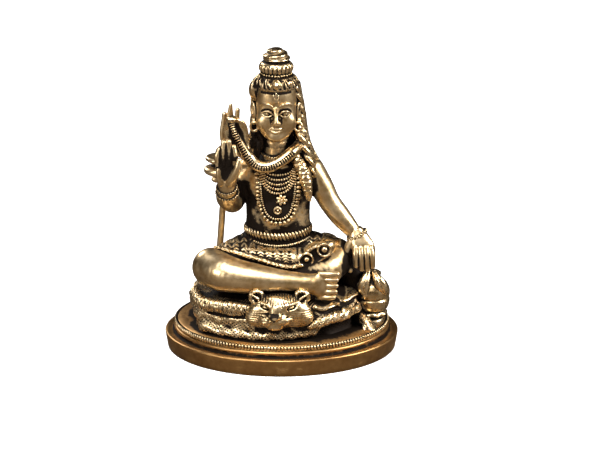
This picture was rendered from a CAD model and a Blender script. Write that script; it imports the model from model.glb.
"""The dressed model of a small cast brass figure of a seated deity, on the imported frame.

The figure is carved from soft-joined forms: each form is a field of distances on a block of points,
forms are joined, cut and given relief there, and the block is skinned where the distance is
nothing. The forms lie where the source's solids lie, in the same ninetieths of the figure's height.
The base, the cords of beads and the roped edges are grown along paths by Geometry Nodes.
"""

import math
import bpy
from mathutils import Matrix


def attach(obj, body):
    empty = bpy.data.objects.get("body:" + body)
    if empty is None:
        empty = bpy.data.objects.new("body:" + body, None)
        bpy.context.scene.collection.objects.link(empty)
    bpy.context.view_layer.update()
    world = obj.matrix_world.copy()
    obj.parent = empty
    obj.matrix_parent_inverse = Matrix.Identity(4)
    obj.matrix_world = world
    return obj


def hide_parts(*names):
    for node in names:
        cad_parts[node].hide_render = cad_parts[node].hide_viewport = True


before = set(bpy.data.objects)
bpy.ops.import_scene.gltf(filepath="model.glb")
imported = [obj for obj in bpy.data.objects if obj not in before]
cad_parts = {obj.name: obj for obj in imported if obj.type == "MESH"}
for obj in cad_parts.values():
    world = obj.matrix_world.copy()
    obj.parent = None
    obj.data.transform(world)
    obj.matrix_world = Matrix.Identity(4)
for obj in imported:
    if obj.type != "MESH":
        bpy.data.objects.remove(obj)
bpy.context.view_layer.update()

from concurrent.futures import ThreadPoolExecutor

import bpy
import numpy as np
from mathutils import Vector
from mathutils.bvhtree import BVHTree

# Millimetres, as in the part's source.
BASE_WIDTH = 74
BASE_DEPTH = 63
PLATE_HEIGHT = 5.6
PLATE_FLARE = 0.8
LEDGE_WIDTH = 3.3
STEP_HEIGHT = 3.7
DECK_HEIGHT = PLATE_HEIGHT + STEP_HEIGHT
FIGURE_HEIGHT = 88.4

# A unit is a ninetieth of the figure's height. Stations are [x, y, z, radius, radius across].
UNIT = FIGURE_HEIGHT / 90
BODY_X = -1.1
HEAD_X = -1.6
MM = 0.001
TURN = 2 * math.pi
# What a block of distances holds where no form is near.
FAR = 50.0
CORNERS = [(i, j, k) for i in (0, 1) for j in (0, 1) for k in (0, 1)]


def row_frame(points):
    """Points of the figure, in units, as metres in the row frame."""
    placed = np.asarray(points, float) * UNIT
    placed[:, 2] += DECK_HEIGHT
    return placed * MM


def smooth_table(table, at, steps):
    """Rows between the rows of a table, on a smooth curve through them."""
    slope = np.gradient(table, at, axis=0)
    rows = []
    for i, span in enumerate(np.diff(at)):
        for u in np.arange(steps) / steps:
            start = (1 + 2 * u) * (1 - u) ** 2 * table[i] + u * (1 - u) ** 2 * span * slope[i]
            end = u * u * (3 - 2 * u) * table[i + 1] + u * u * (u - 1) * span * slope[i + 1]
            rows.append(start + end)
    return np.array([*rows, table[-1]])


def course(stations, steps):
    """Places and radii on a smooth curve through the stations."""
    table = np.array([[*s[:4], s[4] if len(s) > 4 else s[3]] for s in stations], float)
    spans = np.sqrt(np.linalg.norm(np.diff(table[:, :3], axis=0), axis=1))
    rows = smooth_table(table, np.concatenate([[0], np.cumsum(spans)]), steps)
    return rows[:, :3], np.maximum(rows[:, 3:], 0.05)


def unit_vector(v):
    return v / np.linalg.norm(v)


def turn_matrix(degrees):
    """Turned about x, then y, then z."""
    made = np.eye(3)
    for axis, angle in enumerate(np.radians(degrees)):
        c, s = math.cos(angle), math.sin(angle)
        a, b = [(1, 2), (2, 0), (0, 1)][axis]
        step = np.eye(3)
        step[a, a] = step[b, b] = c
        step[a, b], step[b, a] = -s, s
        made = step @ made
    return made


def own_axes(axes, middle, turn):
    """Places as they lie from the middle of a form that is turned."""
    x, y, z = (axis - m for axis, m in zip(axes, middle))
    m = turn_matrix(turn)
    return [x * m[0, a] + y * m[1, a] + z * m[2, a] for a in range(3)]


def kept(values):
    """The values, kept between 0 and 1."""
    return np.clip(values, 0, 1)


def saw(values):
    """A zigzag from 0 to 1 and back for each whole step of the values."""
    return np.abs(2 * (values - np.floor(values)) - 1)


def soft_min(a, b, blend):
    if blend <= 0:
        return np.minimum(a, b)
    near = np.maximum(blend - np.abs(a - b), 0) / blend
    return np.minimum(a, b) - near * near * blend * 0.25


def egg_distance(u, v, w, ru, rv, rw):
    """Roughly the distance to an egg with those half sizes."""
    inner = np.sqrt((u / ru) ** 2 + (v / rv) ** 2 + (w / rw) ** 2) + 1e-6
    slope = np.sqrt((u / ru**2) ** 2 + (v / rv**2) ** 2 + (w / rw**2) ** 2) + 1e-6
    return inner * (inner - 1) / slope


def margin_for(blend):
    """How far round a form its distances are worked out, so that it can blend in."""
    return max(1.2, 1.5 * blend)


class Carving:
    """A block of distances, in units, on which the forms of one piece are joined and cut."""

    def __init__(self, name, low, high, step):
        self.name, self.step = name, step
        counts = [math.ceil((h - l) / step) + 1 for l, h in zip(low, high)]
        self.axes = [l + step * np.arange(n, dtype=np.float32) for l, n in zip(low, counts)]
        self.low = np.array(low, np.float32)
        self.d = np.full(counts, FAR, np.float32)

    def window(self, low, high, margin):
        cut = []
        for axis, l, h in zip(self.axes, low, high):
            first = int(np.searchsorted(axis, l - margin))
            cut.append(slice(first, max(int(np.searchsorted(axis, h + margin)), first)))
        x, y, z = (axis[c] for axis, c in zip(self.axes, cut))
        return tuple(cut), x[:, None, None], y[None, :, None], z[None, None, :]

    def merge(self, cut, made, blend, way="join"):
        old = self.d[cut]
        self.d[cut] = soft_min(old, made, blend) if way == "join" else -soft_min(-old, made, blend)

    def limb(self, stations, blend=0.5, wide=(1, 0, 0), steps=5, relief=None, way="join"):
        """A limb through stations. wide is the way in which its second radius is measured."""
        places, radii = course(stations, steps)
        reach, margin = radii.max(), margin_for(blend)
        cut, *_ = self.window(places.min(0) - reach, places.max(0) + reach, margin)
        made = np.full(self.d[cut].shape, FAR, np.float32)
        along = 0.0
        for i in range(len(places) - 1):
            axis = places[i + 1] - places[i]
            length = max(np.linalg.norm(axis), 1e-6)
            tangent = axis / length
            across = unit_vector(np.array(wide) - tangent * np.dot(wide, tangent))
            thin = np.cross(tangent, across)
            pair = places[i : i + 2]
            part, x, y, z = self.window(pair.min(0) - reach, pair.max(0) + reach, margin)
            here = tuple(slice(p.start - c.start, p.stop - c.start) for p, c in zip(part, cut))
            x, y, z = x - places[i][0], y - places[i][1], z - places[i][2]
            share = (x * tangent[0] + y * tangent[1] + z * tangent[2]) / length
            t = kept(share)
            u = x * across[0] + y * across[1] + z * across[2]
            v = x * thin[0] + y * thin[1] + z * thin[2]
            ru = radii[i][0] + t * (radii[i + 1][0] - radii[i][0])
            rv = radii[i][1] + t * (radii[i + 1][1] - radii[i][1])
            distance = egg_distance(u, v, (share - t) * length, ru, rv, np.minimum(ru, rv))
            if relief:
                distance = distance - relief(along + t * length, np.arctan2(v, u))
            made[here] = np.minimum(made[here], distance)
            along += length
        self.merge(cut, made, blend, way)

    def hoop(self, place, halves, thickness, blend, corners=12):
        """A ring that faces forwards."""
        x, y, z = place
        stations = [
            [x + halves[0] * math.cos(a), y, z + halves[1] * math.sin(a), thickness]
            for a in np.linspace(0, TURN, corners + 1)
        ]
        self.limb(stations, blend=blend, steps=2, wide=(0, 1, 0))

    def pebble(self, place, halves, turn=(0, 0, 0), blend=0.5, way="join"):
        reach = max(halves)
        middle = np.array(place, float)
        cut, *axes = self.window(middle - reach, middle + reach, margin_for(blend))
        self.merge(cut, egg_distance(*own_axes(axes, middle, turn), *halves), blend, way)

    def levels(self, sections, blend=0.5, squareness=2, relief=None):
        """A body in level sections of [z, x, y, half width, half depth], from the bottom up."""
        table = np.array(sections, float)
        table = smooth_table(table, table[:, 0], 6)
        low = [(table[:, 1] - table[:, 3]).min(), (table[:, 2] - table[:, 4]).min(), table[0, 0]]
        high = [(table[:, 1] + table[:, 3]).max(), (table[:, 2] + table[:, 4]).max(), table[-1, 0]]
        cut, x, y, z = self.window(low, high, margin_for(blend))
        cx, cy, hw, hd = (np.interp(z, table[:, 0], table[:, c]) for c in range(1, 5))
        lean = np.abs(np.gradient(table[:, 3], table[:, 0])) * 0.7
        steepness = 1 / np.sqrt(1 + np.interp(z, table[:, 0], np.minimum(lean, 2)) ** 2)
        u, v = (x - cx) / hw, (y - cy) / hd
        inner = (np.abs(u) ** squareness + np.abs(v) ** squareness) ** (1 / squareness) + 1e-6
        slope = np.sqrt((u / hw) ** 2 + (v / hd) ** 2) / np.sqrt(u * u + v * v + 1e-9) + 1e-6
        side = (inner - 1) / slope * steepness
        if relief:
            side = side - relief(z, np.arctan2(v, u))
        end = np.maximum(table[0, 0] - z, z - table[-1, 0])
        made = np.where(end > 0, np.hypot(np.maximum(side, 0), end), np.maximum(side, end))
        self.merge(cut, made, blend)

    def turned(self, profile, place, turn=(0, 0, 0), relief=None):
        """A turned form about its own axis: a profile of [radius, z] from the bottom up."""
        table = np.array(profile, float)
        middle = np.array(place, float)
        widest = table[:, 0].max()
        if any(turn):
            reach = math.hypot(widest, np.abs(table[:, 1]).max())
            low, high = middle - reach, middle + reach
        else:
            low = middle + [-widest, -widest, table[0, 1]]
            high = middle + [widest, widest, table[-1, 1]]
        cut, *axes = self.window(low, high, 1.2)
        u, v, w = own_axes(axes, middle, turn)
        radius = np.interp(w, table[:, 1], table[:, 0])
        spread = np.minimum(np.abs(np.gradient(table[:, 0], table[:, 1])), 2)
        steepness = 1 / np.sqrt(1 + np.interp(w, table[:, 1], spread) ** 2)
        side = (np.sqrt(u * u + v * v) - radius) * steepness
        if relief:
            side = side - relief(w, np.arctan2(v, u))
        end = np.maximum(table[0, 1] - w, w - table[-1, 1])
        self.merge(cut, np.maximum(side, end), 0.3)

    def relief(self, low, high, height):
        """Raises the surface inside a box by what height(x, y, z) gives there."""
        cut, x, y, z = self.window(low, high, 0)
        fade = 1.0
        for axis, l, h in zip((x, y, z), low, high):
            fade = fade * kept(np.minimum(axis - l, h - axis) / 1.2)
        self.d[cut] -= height(x, y, z) * fade

    def skin(self):
        """Points in units and the faces between them, where the distance is nothing."""
        d = self.d
        d[0], d[-1], d[:, 0], d[:, -1], d[:, :, 0], d[:, :, -1] = (1.0,) * 6
        inside = d < 0
        n = np.array(d.shape) - 1
        count = np.zeros(n, np.int8)
        for c in CORNERS:
            count += inside[tuple(slice(o, o + m) for o, m in zip(c, n))]
        cells = np.nonzero((count > 0) & (count < 8))
        total, crossings = np.zeros((len(cells[0]), 3)), np.zeros(len(cells[0]))
        at = {c: d[tuple(a + o for a, o in zip(cells, c))].astype(float) for c in CORNERS}
        for a in CORNERS:
            for axis in range(3):
                if a[axis]:
                    continue
                b = tuple(1 if i == axis else a[i] for i in range(3))
                crossing = (at[a] < 0) != (at[b] < 0)
                t = np.where(crossing, at[a] / np.where(crossing, at[a] - at[b], 1), 0)
                place = np.tile(np.array(a, float), (len(t), 1))
                place[:, axis] += t
                total += place * crossing[:, None]
                crossings += crossing
        points = np.stack(cells, 1) + total / crossings[:, None]
        number = np.full(n, -1, np.int32)
        number[cells] = np.arange(len(points))
        quads = []
        for axis in range(3):
            b, c = (axis + 1) % 3, (axis + 2) % 3
            step = [0, 0, 0]
            step[axis] = 1
            here = inside[: n[0], : n[1], : n[2]]
            there = inside[step[0] :, step[1] :, step[2] :][: n[0], : n[1], : n[2]]
            edge = np.stack(np.nonzero(here != there), 1)
            edge = edge[(edge[:, b] > 0) & (edge[:, c] > 0)]
            ring = []
            for ob, oc in ((1, 1), (0, 1), (0, 0), (1, 0)):
                cell = edge.copy()
                cell[:, b] -= ob
                cell[:, c] -= oc
                ring.append(number[tuple(cell.T)])
            ring = np.stack(ring, 1)
            outward = here[tuple(edge.T)]
            ring[~outward] = ring[~outward][:, ::-1]
            quads.append(ring)
        return self.low + points * self.step, np.concatenate(quads)


def trilinear(values, places):
    """Values of a block at places between its points."""
    top = np.array(values.shape) - 1.001
    places = np.clip(places, 0, top)
    first = places.astype(int)
    part = places - first
    total = np.zeros(len(places))
    for i, j, k in CORNERS:
        weight = np.prod([np.abs(1 - o - part[:, a]) for a, o in enumerate((i, j, k))], 0)
        total += weight * values[first[:, 0] + i, first[:, 1] + j, first[:, 2] + k]
    return total


def blurred(values, reach):
    """A block whose every value is the mean of those round it, taken twice."""
    size = 2 * reach + 1
    for axis in (0, 1, 2, 0, 1, 2):
        pads = [(0, 0)] * 3
        pads[axis] = (reach + 1, reach)
        sums = np.cumsum(np.pad(values, pads, mode="edge"), axis=axis, dtype=np.float32)
        high, low = [slice(None)] * 3, [slice(None)] * 3
        high[axis], low[axis] = slice(size, None), slice(None, -size)
        values = (sums[tuple(high)] - sums[tuple(low)]) / size
    return values


# The forms, in units.


def rock_and_skin():
    """The rock, with the tiger skin over it: a fringed fold, an apron in front and a paw."""
    c = Carving("seat", (-32, -29, -1.2), (33, 24, 16), 0.34)

    def folds(z, angle):
        return 0.5 * np.sin(7 * angle + 0.35 * z) + 0.35 * np.sin(13 * angle - 0.5 * z)

    c.levels(
        [
            [-0.6, -2.2, -1, 25.6, 19], [3, -2.2, -1, 25.4, 19], [5.4, -2.2, -1.2, 26.4, 20],
            [8.8, -2.2, -1.2, 26.6, 20.6], [10.8, -2.2, -1.2, 25.6, 20.2], [12.8, -2.2, -1, 18.6, 15],
        ],
        squareness=3, relief=folds,
    )
    rolled = [[-28, -5, 10, 1.7], [-25.2, -14.4, 9.6, 1.9], [-16, -20, 10, 1.7], [-9, -22, 9.8, 1.4]]
    apron = [[-24.4, -15.6, 2, 2], [-12, -21.6, 1.2, 1.9], [0, -23.2, 1.2, 1.6], [11, -21.2, 2.6, 1.6]]
    wall = [
        [-25, -13.8, 5.2, 4, 2], [-12, -20.8, 5, 4.2, 1.9], [0, -22.2, 4.6, 4, 1.8],
        [11, -21, 4.2, 2.6, 1.5],
    ]
    lip = [[10, -22, 4.8, 2], [15, -20.4, 6.2, 1.9], [19.6, -17.6, 6.6, 1.7], [24, -10, 6.4, 1.6]]
    paw = [[24.6, -7, 2.4, 2.2], [27.4, -10.4, 1, 1.9], [29, -12.8, -0.8, 1.4]]
    c.limb(wall, wide=(0, 0, 1), blend=1.2)
    c.limb(rolled, blend=0.5, relief=lambda s, a: 0.24 * np.sin(s * 4.2 + 1.5 * a))
    c.limb(apron, blend=0.9)

    def lumps(s, a):
        return 0.3 * np.sin(s * 1.3 + a * 2) * np.sin(a * 2 + s * 0.7)

    c.limb(lip, blend=0.5, relief=lumps)
    c.limb(paw, blend=0.8)
    for claw in range(4):
        x = 26.4 + claw * 1.1
        c.limb([[x, -12.2 + claw * 0.5, 0.5, 0.7], [x + 0.4, -13.6 + claw * 0.5, -0.6, 0.5]], blend=0.2)
    hollow = [[13, -21.4, 1, 2.2], [18.5, -18.4, 1.8, 3], [23.4, -12.6, 1.8, 2.6]]
    c.limb(hollow, way="cut", blend=0.4)
    crease = [[11.6, -22.6, 8.4, 0.5], [16, -20, 9.2, 0.8], [23.6, -12, 9.4, 0.8]]
    c.limb(crease, way="cut", blend=0.4)
    c.limb([[-27.4, -9, 7.2, 0.5], [-22, -17.6, 7, 0.6], [-10, -23, 7.4, 0.6]], way="cut", blend=0.4)

    def waves(x, y, z):
        return 0.16 * np.sin(0.9 * x + 1.4 * np.sin(0.5 * z)) * np.sin(1.5 * z + 0.5 * x + 0.4 * y)

    c.relief((-30, -30, -1), (12.6, 0, 7.9), waves)

    def wrinkles(x, y, z):
        return 0.34 * np.sin(z * 2.6 + 0.5 * x + 1.8 * np.sin(x * 0.6 + 0.3 * y))

    c.relief((10, -28, 7.6), (30, 2, 14), wrinkles)
    return c


def tiger_head():
    c = Carving("tiger_head", (-14, -31, 0.5), (12, -14, 19), 0.2)
    middle, muzzle = -0.6, -2
    c.pebble((middle, -23, 10.8), (8.8, 4.2, 4.8), (-14, 0, 0))
    bridge = [
        [middle - 0.4, -25.6, 14, 3, 1.3], [muzzle + 0.4, -27.2, 11.6, 1.9, 1.3],
        [muzzle, -28.2, 9.8, 2, 1.1],
    ]
    c.limb(bridge, blend=1.6)
    c.pebble((middle - 0.6, -23.6, 7.4), (7.6, 3.2, 3.1), blend=1.5)
    for side in (-1, 1):
        c.pebble((middle + side * 6, -23.6, 8.8), (4.9, 2.5, 3.8), (0, side * 22, 0), blend=2.2)
        c.pebble((muzzle + side * 2.1, -26.9, 7.8), (2.8, 1.9, 1.8), blend=1.3)
        ear = (middle + side * 7.2, -22.8, 14.6)
        c.pebble(ear, (2.7, 1.6, 2.5), (0, side * 20, 0), blend=0.4)
        c.pebble(
            (ear[0], ear[1] - 1.5, ear[2] + 0.1), (1.8, 1.2, 1.6), (0, side * 20, 0), way="cut",
            blend=0.3,
        )
        curl = [
            [ear[0] + side * 1.3, -24.2, 15.4, 0.3], [ear[0] - side * 0.3, -24.4, 14.4, 0.42],
            [ear[0] - side * 1.2, -24, 13.2, 0.3],
        ]
        c.limb(curl, blend=0.15)
        eye = (middle - 0.3 + side * 3.9, -26.2, 11.9)
        c.pebble(eye, (2, 0.9, 0.75), (0, side * -20, 0), blend=0.35, way="cut")
        c.pebble((eye[0], eye[1] + 0.5, eye[2] - 0.1), (1.25, 0.7, 0.42), (0, side * -20, 0), blend=0.1)
        brow = [
            [eye[0] - side * 2.2, -26.9, 12.1, 0.4], [eye[0] - side * 0.2, -26.5, 13, 0.42],
            [eye[0] + side * 2.4, -25.1, 13.4, 0.4],
        ]
        c.limb(brow, blend=0.5)
        c.limb(
            [[muzzle + side * 0.9, -29, 8.2, 0.22], [muzzle + side * 4.2, -27.2, 9.2, 0.22]],
            blend=0.25, way="cut",
        )
    c.pebble((muzzle, -26.6, 5.9), (2.8, 2, 1.4), blend=0.7)
    nose = [[muzzle - 1.4, -28.7, 9.9, 0.6], [muzzle, -29.2, 9.2, 0.8], [muzzle + 1.4, -28.7, 9.9, 0.6]]
    c.limb(nose, blend=0.4)
    c.limb([[muzzle, -29.6, 8.6, 0.22], [muzzle, -29.4, 7, 0.22]], blend=0.2, way="cut")
    mouth = [
        [muzzle - 3.8, -27.8, 7.2, 0.25], [muzzle, -29.2, 6.6, 0.28], [muzzle + 3.8, -27.8, 7.2, 0.25],
    ]
    c.limb(mouth, blend=0.2, way="cut")
    return c


def cloth_folds(x, y, z):
    """Shallow columns in the skin round the hips, for the strokes to run down."""
    return -0.2 * np.abs(np.cos(x * 1.208 + 0.3 * np.sin(z * 0.5))) ** 8


def hips_and_cloth():
    c = Carving("hips", (-28, -20, 4), (31, 13, 32), 0.31)
    c.limb([[-6, 3, 21.6, 7.8], [-14, -4, 20.8, 6.9], [-19.4, -8.2, 20.2, 5.9]], blend=1.5)
    c.limb([[4.2, 3, 21.6, 7.8], [11.6, 0, 21, 7], [17, -2.2, 20.9, 6.3]], blend=1.5)
    c.limb([[14, 5, 20.5, 6], [20.8, 1.8, 16.5, 5.2], [23.4, 0.8, 10, 4.4]], blend=1)
    lap = [[-9, -8.2, 21.4, 6.2, 4.8], [-1, -9.4, 20.8, 6.2, 5], [6, -9.2, 20.8, 6.4, 5]]
    c.limb(lap, wide=(0, -0.7, 0.7), blend=2.2)
    c.relief((-27, -18, 20.6), (14, 9, 30.5), cloth_folds)
    hem = [
        [-21, -9.6, 26.6, 0.6], [-14, -13.4, 26, 0.7], [-6, -15.1, 23.9, 0.8], [-1, -15.6, 22.4, 0.8],
        [4, -15.4, 21.8, 0.8], [9, -13.6, 23, 0.7],
    ]
    c.limb(hem, blend=0.5)
    knot = (0, -30, 0)
    c.pebble((10.9, -11.2, 25.2), (7, 3.4, 3.5), knot, blend=0.2)
    c.pebble((10.9, -14.2, 25.2), (5.9, 1.4, 2.6), knot, way="cut", blend=0.2)
    for x, z in ((8.0, 23.6), (13.7, 26.9)):
        c.pebble((x, -12.7, z), (1.15, 1.3, 1.15), blend=0.1)
        c.hoop((x, -13.5, z), (2.1, 2.1), 0.36, 0.08)
    return c


def shins_and_feet():
    c = Carving("shins", (-31, -26, 8), (26, 4, 31), 0.32)
    far_shin = [
        [16.6, -5, 20.4, 5.7], [14.4, -8.6, 19.3, 5.4], [9, -12.4, 17.6, 4.7], [2, -13.8, 16.4, 4.2],
    ]
    c.limb(far_shin, wide=(0, 0, 1), blend=0.4)
    near_shin = [
        [-22.2, -10.6, 20.2, 6.3], [-18.6, -14.8, 19.8, 6], [-13.4, -17, 19.2, 5.4],
        [-8, -18.4, 18.9, 4.8], [-2, -19.3, 18.5, 4], [3.6, -19.6, 18.3, 3.3], [8.4, -19.5, 17.9, 3],
    ]
    c.limb(near_shin, wide=(0, 0, 1), blend=0.3)
    foot = [[8, -19.5, 17.9, 3, 2.6], [11.4, -19.3, 17.3, 3.8, 2.2], [13.4, -19, 17, 4.3, 1.7]]
    c.limb(foot, wide=(0, 0, 1), blend=0.8)
    c.pebble((6.8, -20.6, 16.4), (1.4, 1.3, 1.5), blend=1.1)
    for toe in range(5):
        z = 20.9 - 1.95 * toe
        end = 17.5 - 0.1 * (toe - 1) ** 2 + (0.3 if toe == 0 else 0)
        r = 1.0 if toe == 0 else 0.84
        c.limb([[12.2, -19.3, z - 0.05, r], [15.2, -20, z, r], [end, -19.7, z, r * 0.95]], blend=0.06)
    return c


def trunk_and_arms():
    c = Carving("trunk", (-23, -14, 15), (30, 14, 60), 0.31)
    c.levels(
        [
            [16, BODY_X, 2, 13.2, 9.2], [27.4, BODY_X, 1.7, 11.0, 7.8], [32.2, BODY_X, 1.3, 10.3, 7.0],
            [37.6, BODY_X, 1, 10.3, 6.6], [43, BODY_X, 0.8, 10.8, 7], [46.8, BODY_X, 0.9, 11.4, 7],
            [50, BODY_X, 1, 10.8, 6], [52.4, BODY_X, 1.1, 7.6, 5.2], [54.2, BODY_X, 0.9, 5.2, 4.8],
        ],
    )
    c.levels(
        [[50, HEAD_X, 0.8, 4.6, 4.6], [54, HEAD_X, 0.6, 4.1, 4.1], [59.5, HEAD_X, 0.6, 4, 4]], blend=2,
    )
    for side in (-1, 1):
        c.pebble((BODY_X + side * 4.9, -3.9, 45.6), (5, 2.7, 4.2), (0, 0, side * 14), blend=1.8)
        c.limb(
            [[BODY_X + side * 1.4, -4.4, 52, 0.7], [BODY_X + side * 8.6, -2.4, 51.2, 0.7]], blend=1.2,
        )
    c.pebble((BODY_X, -5, 36), (4.6, 2.2, 4), blend=2.2)
    c.limb([[-10.4, 1.2, 48.4, 4.5], [-13.6, 0.4, 43.8, 3.9], [-15.6, -1.4, 39.8, 3.7]], blend=1.6)
    forearm = [
        [-15.8, -1.8, 39.6, 3.6], [-17.2, -6, 42.2, 3.6], [-17.3, -8.9, 46.2, 2.7],
        [-17.2, -9.4, 48, 2.4],
    ]
    c.limb(forearm, blend=1.2)
    lowered = [
        [9.4, 1.6, 48.8, 4.5], [12.7, 1, 43.8, 3.9], [15.4, 0, 38.8, 3.5], [19, -1.4, 34.2, 3.35],
        [23.2, -3, 29.4, 2.5], [24.4, -3.5, 27.4, 2.4],
    ]
    c.limb(lowered, blend=1.6)
    return c


def pendants():
    """A rosette and a ringed disc that hang on the chest."""
    c = Carving("pendants", (-5, -10.5, 34.5), (4.5, -3, 45), 0.14)
    x, z = BODY_X - 0.1, 38.1
    c.pebble((x, -6.4, z), (1.2, 0.6, 1.2), blend=0.2)
    c.hoop((x, -7.3, z), (1.05, 1.05), 0.3, 0.05, corners=16)
    c.pebble((x, -7.4, z), (0.42, 0.42, 0.42), blend=0.05)
    for petal in np.arange(7) * TURN / 7:
        place = (0.1 + 1.15 * math.cos(petal), -7, 41.5 + 1.15 * math.sin(petal))
        c.pebble(place, (0.72, 0.5, 0.44), (0, -math.degrees(petal), 0), blend=0.06)
    c.pebble((0.1, -7.4, 41.5), (0.5, 0.45, 0.5), blend=0.05)
    return c


def raised_hand():
    c = Carving("raised_hand", (-22.6, -15.5, 44.6), (-11.2, -5, 64), 0.19)
    palm = [
        [-17.2, -9.2, 46.2, 2.6, 2.1], [-17.3, -9.8, 49, 3.2, 1.9], [-17.3, -10.2, 53, 3.5, 1.6],
        [-17.3, -10.4, 57, 3.5, 1.2], [-17.3, -10.2, 60, 2.6, 0.9],
    ]
    c.limb(palm, blend=0.6)
    c.pebble((-19.5, -11.4, 50.6), (1.1, 0.8, 3.2), (0, -4, 0), blend=0.7)
    c.pebble((-17.6, -12.4, 51.8), (2, 1.1, 3.2), blend=0.6, way="cut")
    for x, tip in [(-20.1, 59.4), (-18.3, 61.7), (-16.4, 61.9), (-14.6, 60.2)]:
        lean = (x + 17.3) * 0.02
        stations = [
            [x + 0.1, -11, 54.6, 0.92], [x + lean, -11.3, 57.2, 1.02], [x - lean * 9, -10.8, tip, 0.92],
        ]
        c.limb(stations, blend=0.05)
    thumb = [
        [-16.4, -11, 48.4, 1.5], [-15, -12.2, 51, 1.4], [-13.7, -12.9, 54.2, 1.15],
        [-13.3, -12.8, 56.4, 0.8],
    ]
    c.limb(thumb, blend=0.4)
    return c


def lowered_hand():
    c = Carving("lowered_hand", (18, -12, 14.6), (33, 2, 31.5), 0.19)
    back = [
        [23.9, -3.4, 29.8, 2.5, 2.2], [24.9, -4.6, 27.4, 3.5, 2.2], [25.8, -5.6, 25, 4.1, 2],
        [26.4, -5.8, 22, 3.8, 1.5], [26.8, -5.6, 18.6, 3, 1.1],
    ]
    c.limb(back, blend=0.6)
    for x, low in ((23.7, 19.6), (25.5, 18.5), (27.3, 18.3), (29, 19.4)):
        stations = [
            [x * 0.93 + 1.6, -6.9, 25.4, 0.95], [x, -7.7, 22.8, 1.04], [x + 0.25, -7.5, low, 0.82],
        ]
        c.limb(stations, blend=0.05)
    thumb = [
        [22.4, -4.6, 27, 1.4], [21.1, -5.6, 24, 1.35], [20.9, -6.4, 20.8, 1.1], [22, -6.8, 17.8, 0.85],
    ]
    c.limb(thumb, blend=0.3)
    return c


def water_pot():
    c = Carving("pot", (22, -12, -1.2), (36.5, 4, 19.5), 0.2)

    def rings(z, angle):
        return 0.2 * np.sin(9 * angle) * kept(1.3 - np.abs(z - 2.7) / 0.5)

    c.turned(
        [
            [4.2, -0.6], [3.9, 0.6], [3.3, 1.3], [3.3, 1.8], [4.6, 2.1], [5.0, 2.7], [4.6, 3.3],
            [4.2, 3.6], [5.0, 4.4], [5.4, 5.4], [5.65, 6.6], [5.7, 7.4], [5.4, 7.9], [5.3, 8.2],
            [5.65, 8.6], [5.75, 10], [5.5, 11.2], [4.8, 12.6], [3.7, 13.8], [2.8, 14.6], [2.5, 15.2],
            [2.9, 15.6], [2.9, 16.1], [2.2, 16.6], [1.2, 17], [0.3, 17.2],
        ],
        (29.2, -3.4, 0), relief=rings,
    )

    def midrib(s, a):
        return -0.4 * np.exp(-((np.abs(a) - np.pi / 2) ** 2) * 26)

    leaves = [
        [
            [27.8, -6, 17.2, 0.8, 0.7], [26.8, -8, 15, 1.6, 1], [26.2, -9, 12.4, 1.7, 0.9],
            [26.9, -9.3, 10, 0.6],
        ],
        [
            [29.8, -6, 17.2, 0.8, 0.7], [31, -7.9, 15, 1.6, 1], [32.2, -8.2, 12.6, 1.7, 0.9],
            [33.2, -7.6, 10.4, 0.6],
        ],
    ]
    for leaf in leaves:
        c.limb(leaf, blend=0.12, relief=midrib)
    return c


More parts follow.
